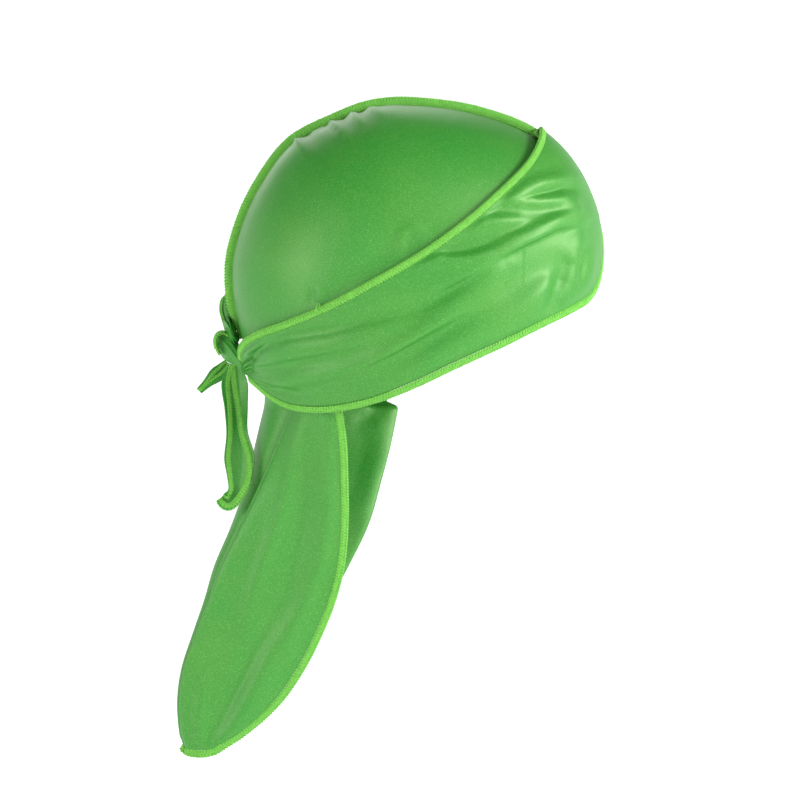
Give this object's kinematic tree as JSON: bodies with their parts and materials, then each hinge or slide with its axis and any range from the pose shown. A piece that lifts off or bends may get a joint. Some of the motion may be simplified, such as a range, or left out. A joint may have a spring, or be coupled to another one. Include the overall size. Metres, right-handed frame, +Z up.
{
  "type": "durag",
  "caption": "Satin durag in its worn shape: domed crown with a raised centre seam, wide crossing tie straps, a knot behind and a long folded tail; hollow and open below.",
  "frame": {"origin": "the inside top of the crown on the centre line, where it rests on the top of a head", "axes": "+Z up, +X towards the wearer's face, +Y to the wearer's left"},
  "size_m": [0.2286, 0.1634, 0.3548],
  "materials": {
    "satin": "glossy green satin weave with broad pale highlights",
    "overlock_thread": "matt yellow-green overlock thread"
  },
  "bodies": {
    "root": {"crown_panel_right": "satin", "crown_panel_left": "satin", "crown_seam": "overlock_thread", "strap_right": "satin", "strap_right_upper_hem": "overlock_thread", "strap_right_lower_hem": "overlock_thread", "strap_left": "satin", "strap_left_upper_hem": "overlock_thread", "strap_left_lower_hem": "overlock_thread", "tail": "satin", "tail_hem": "overlock_thread", "knot": "satin", "knot_loop": "satin", "tie_end_long": "satin", "tie_end_short": "satin"}
  },
  "joints": []
}
